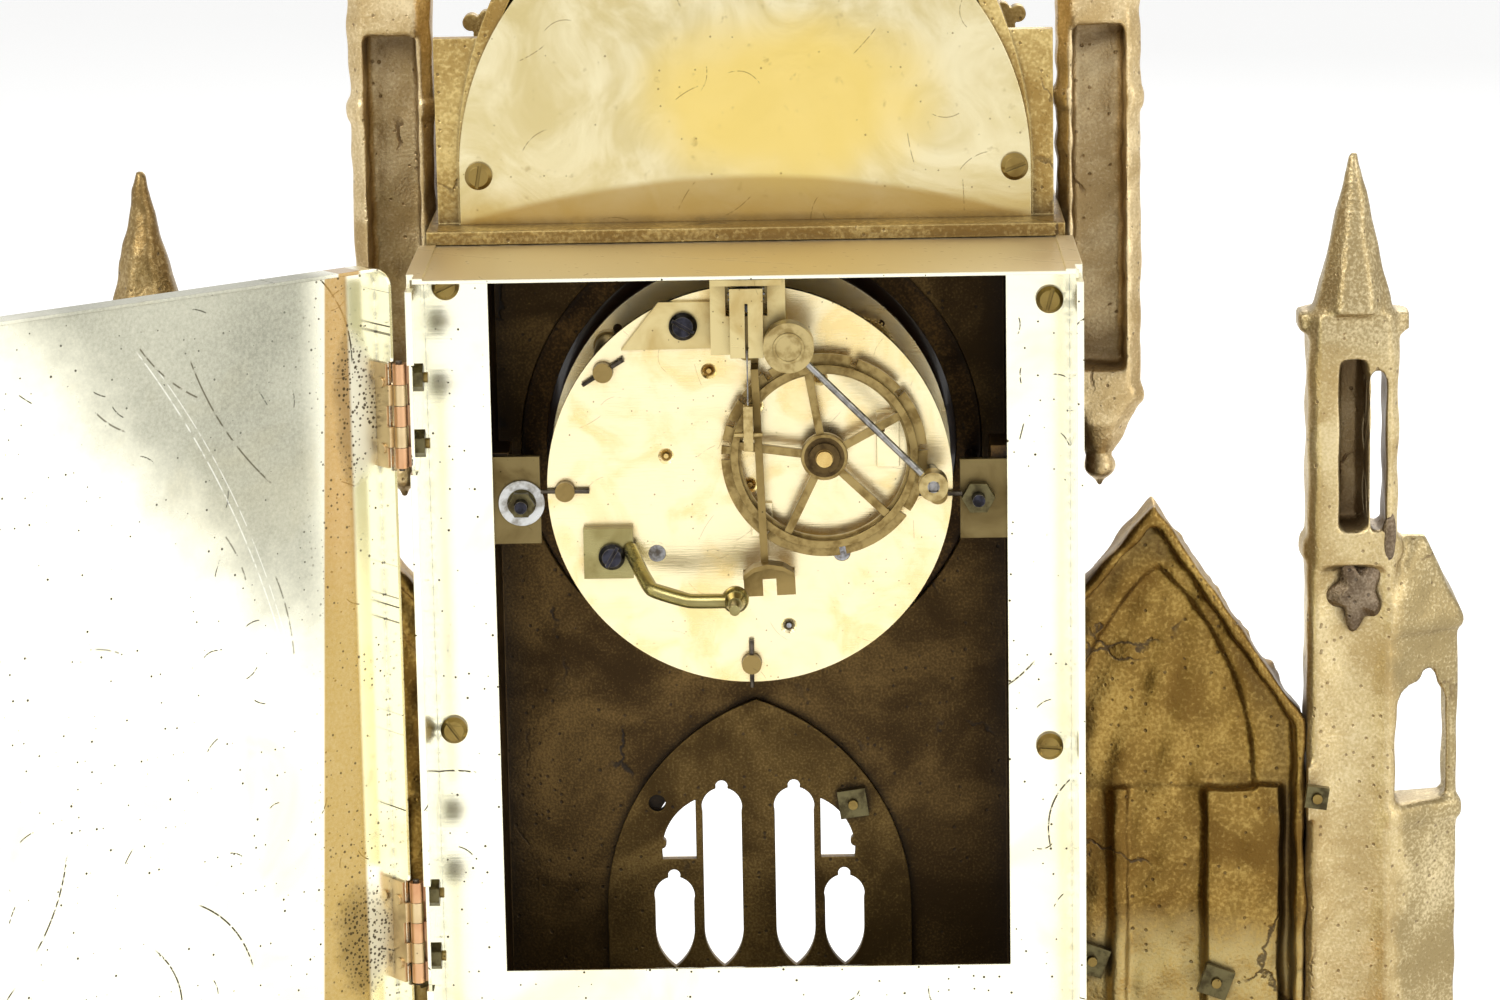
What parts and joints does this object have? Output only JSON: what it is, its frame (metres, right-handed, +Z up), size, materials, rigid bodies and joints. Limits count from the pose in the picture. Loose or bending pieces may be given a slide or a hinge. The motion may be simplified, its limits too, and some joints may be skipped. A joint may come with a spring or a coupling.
{
  "type": "table clock",
  "caption": "Cathedral-front table clock of cast gilt bronze, with a sheet-brass box behind whose door stands open on a round striking movement.",
  "frame": {"origin": "on the table, under the middle of the plinth", "axes": "+X to the right of a viewer who faces the dial, +Y to the rear, +Z up"},
  "size_m": [0.3885, 0.2142, 0.517],
  "materials": {
    "cast_gilt": "worn gilding over cast bronze",
    "cast_patina": "dark brown patina",
    "sheet_brass": "polished and scratched",
    "movement_brass": "lacquered",
    "hinge_brass": "worn",
    "steel": "worn",
    "blued_steel": "blued",
    "enamel": "white enamel",
    "glass": "clear"
  },
  "bodies": {
    "case": {"base_plate": "sheet_brass", "plinth": "cast_gilt", "facade": "cast_patina", "portal_tracery": "cast_patina", "aisle_left": "cast_gilt", "aisle_right": "cast_gilt", "turret_left": "cast_gilt", "turret_right": "cast_gilt", "tower_left": "cast_gilt", "tower_right": "cast_gilt", "gable": "cast_gilt", "gable_cover": "sheet_brass", "box": "sheet_brass", "hinge_box_leaves": "hinge_brass", "pins": "steel", "nuts": "hinge_brass", "case_screws": "hinge_brass", "movement_brackets": "movement_brass", "movement_screws": "blued_steel", "bezel_seat": "cast_gilt", "dial": "enamel", "front_plate": "movement_brass", "back_plate": "movement_brass", "pillars": "movement_brass", "bell_stand": "movement_brass", "suspension_bracket": "movement_brass"},
    "door": {"door": "sheet_brass", "hinge_door_leaves": "hinge_brass"},
    "door_catch": {"door_catch": "hinge_brass"},
    "bezel": {"bezel": "cast_gilt", "bezel_glass": "glass"},
    "centre_arbor": {"centre_wheel": "movement_brass", "cannon_pinion": "movement_brass", "minute_hand": "blued_steel"},
    "going_barrel": {"going_barrel": "movement_brass"},
    "second_wheel": {"second_wheel": "movement_brass"},
    "third_wheel": {"third_wheel": "movement_brass"},
    "escape_wheel": {"escape_wheel": "movement_brass"},
    "minute_wheel": {"minute_wheel": "movement_brass"},
    "hour_wheel": {"hour_wheel": "movement_brass", "hour_hand": "blued_steel"},
    "warning_wheel": {"warning_wheel": "movement_brass"},
    "strike_barrel": {"strike_barrel": "movement_brass"},
    "count_arbor": {"strike_second_wheel": "movement_brass", "count_wheel": "movement_brass"},
    "pin_wheel": {"pin_wheel": "movement_brass"},
    "fly": {"fly": "movement_brass"},
    "hammer": {"hammer": "movement_brass"},
    "pallet_arbor": {"pallets": "steel", "crutch": "movement_brass"},
    "suspension": {"suspension_spring": "steel"},
    "regulator_arbor": {"regulator_arbor": "steel"},
    "regulator_wheel": {"regulator_wheel": "steel"},
    "chops": {"suspension_chops": "movement_brass"},
    "going_winder": {"going_winder": "steel"},
    "strike_winder": {"strike_winder": "steel"},
    "going_click": {"going_click": "steel"},
    "strike_click": {"strike_click": "steel"},
    "lifting_lever": {"lifting_lever": "steel"},
    "locking_lever": {"locking_lever": "steel"}
  },
  "joints": [
    {"name": "door_swing", "type": "hinge", "parent": "case", "child": "door", "pos_m": [0.07795, 0.0512, 0.18], "axis": [0, 0, 1], "range_deg": [-15, 141]},
    {"name": "door_catch_turn", "type": "hinge", "parent": "door", "child": "door_catch", "pos_m": [0.19465, 0.13798, 0.18185], "axis": [0.6293, -0.7771, 0], "range_deg": [0, 90]},
    {"name": "bezel_swing", "type": "hinge", "parent": "case", "child": "bezel", "pos_m": [-0.0637, -0.0442, 0.24], "axis": [0, 0, 1], "range_deg": [-110, 0]},
    {"name": "centre_spin", "type": "hinge", "parent": "case", "child": "centre_arbor", "pos_m": [0, 0, 0.24], "axis": [0, 1, 0], "continuous": true},
    {"name": "going_barrel_spin", "type": "hinge", "parent": "case", "child": "going_barrel", "pos_m": [0.0221, 0, 0.2239], "axis": [0, 1, 0], "continuous": true},
    {"name": "second_wheel_spin", "type": "hinge", "parent": "case", "child": "second_wheel", "pos_m": [0.0195, 0, 0.2472], "axis": [0, 1, 0], "continuous": true},
    {"name": "third_wheel_spin", "type": "hinge", "parent": "case", "child": "third_wheel", "pos_m": [-0.00165, 0, 0.2589], "axis": [0, 1, 0], "continuous": true},
    {"name": "escape_wheel_spin", "type": "hinge", "parent": "case", "child": "escape_wheel", "pos_m": [0.0091, 0, 0.2673], "axis": [0, 1, 0], "continuous": true},
    {"name": "minute_wheel_spin", "type": "hinge", "parent": "case", "child": "minute_wheel", "pos_m": [0, 0, 0.229], "axis": [0, 1, 0], "continuous": true},
    {"name": "hour_wheel_spin", "type": "hinge", "parent": "case", "child": "hour_wheel", "pos_m": [0, 0, 0.24], "axis": [0, 1, 0], "continuous": true},
    {"name": "warning_wheel_spin", "type": "hinge", "parent": "case", "child": "warning_wheel", "pos_m": [-0.02622, 0, 0.26616], "axis": [0, 1, 0], "continuous": true},
    {"name": "strike_barrel_spin", "type": "hinge", "parent": "case", "child": "strike_barrel", "pos_m": [-0.0213, 0, 0.2235], "axis": [0, 1, 0], "continuous": true},
    {"name": "count_arbor_spin", "type": "hinge", "parent": "case", "child": "count_arbor", "pos_m": [-0.0175, 0, 0.248], "axis": [0, 1, 0], "continuous": true},
    {"name": "pin_wheel_spin", "type": "hinge", "parent": "case", "child": "pin_wheel", "pos_m": [-0.03103, 0, 0.25293], "axis": [0, 1, 0], "continuous": true},
    {"name": "fly_spin", "type": "hinge", "parent": "case", "child": "fly", "pos_m": [-0.01665, 0, 0.26532], "axis": [0, 1, 0], "continuous": true},
    {"name": "hammer_lift", "type": "hinge", "parent": "case", "child": "hammer", "pos_m": [-0.0425, 0, 0.243], "axis": [0, 1, 0], "range_deg": [-12, 0], "stiffness_Nm_per_rad": 0.01, "springref_deg": 5.73},
    {"name": "pallet_rock", "type": "hinge", "parent": "case", "child": "pallet_arbor", "pos_m": [0, 0, 0.273], "axis": [0, 1, 0], "range_deg": [-3, 3]},
    {"name": "suspension_flex", "type": "hinge", "parent": "case", "child": "suspension", "pos_m": [0, 0, 0.2734], "axis": [0, 1, 0], "range_deg": [-4, 4], "stiffness_Nm_per_rad": 0.0005},
    {"name": "regulator_turn", "type": "hinge", "parent": "case", "child": "regulator_arbor", "pos_m": [0, 0, 0.287], "axis": [0, 1, 0], "range_deg": [-360, 360]},
    {"name": "regulator_wheel_turn", "type": "hinge", "parent": "case", "child": "regulator_wheel", "pos_m": [0, 0.0224, 0.2915], "axis": [0, 0, 1], "range_deg": [-360, 360]},
    {"name": "chops_slide", "type": "slide", "parent": "case", "child": "chops", "axis": [0, 0, 1], "range_m": [-0.0005, 0.0005]},
    {"name": "going_winder_spin", "type": "hinge", "parent": "case", "child": "going_winder", "pos_m": [0.0221, 0, 0.2239], "axis": [0, 1, 0], "continuous": true},
    {"name": "strike_winder_spin", "type": "hinge", "parent": "case", "child": "strike_winder", "pos_m": [-0.0213, 0, 0.2235], "axis": [0, 1, 0], "continuous": true},
    {"name": "going_click_turn", "type": "hinge", "parent": "case", "child": "going_click", "pos_m": [0.0326, 0, 0.2239], "axis": [0, 1, 0], "range_deg": [0, 8], "stiffness_Nm_per_rad": 0.0004, "springref_deg": -5.73},
    {"name": "strike_click_turn", "type": "hinge", "parent": "case", "child": "strike_click", "pos_m": [-0.0318, 0, 0.2235], "axis": [0, 1, 0], "range_deg": [-8, 0], "stiffness_Nm_per_rad": 0.0004, "springref_deg": 5.73},
    {"name": "lifting_lever_lift", "type": "hinge", "parent": "case", "child": "lifting_lever", "pos_m": [0.009, 0, 0.206], "axis": [0, 1, 0], "range_deg": [-6, 0], "stiffness_Nm_per_rad": 0.0004, "springref_deg": 5.73},
    {"name": "locking_lever_lift", "type": "hinge", "parent": "case", "child": "locking_lever", "pos_m": [-0.0086, 0, 0.206], "axis": [0, 1, 0], "range_deg": [-8, 0], "stiffness_Nm_per_rad": 0.0004, "springref_deg": 5.73}
  ],
  "couplings": [
    {"joint": "going_barrel_spin", "follows": "centre_spin", "ratio": 0.02381},
    {"joint": "second_wheel_spin", "follows": "centre_spin", "ratio": -0.14286},
    {"joint": "third_wheel_spin", "follows": "centre_spin", "ratio": -10},
    {"joint": "escape_wheel_spin", "follows": "centre_spin", "ratio": 120},
    {"joint": "minute_wheel_spin", "follows": "centre_spin", "ratio": -0.33333},
    {"joint": "hour_wheel_spin", "follows": "centre_spin", "ratio": 0.083333},
    {"joint": "fly_spin", "follows": "warning_wheel_spin", "ratio": -8},
    {"joint": "pin_wheel_spin", "follows": "warning_wheel_spin", "ratio": -0.1},
    {"joint": "count_arbor_spin", "follows": "warning_wheel_spin", "ratio": 0.011111},
    {"joint": "strike_barrel_spin", "follows": "warning_wheel_spin", "ratio": -0.0027778},
    {"joint": "regulator_turn", "follows": "chops_slide", "rad_per_m": 12566},
    {"joint": "regulator_wheel_turn", "follows": "chops_slide", "rad_per_m": 12566}
  ]
}
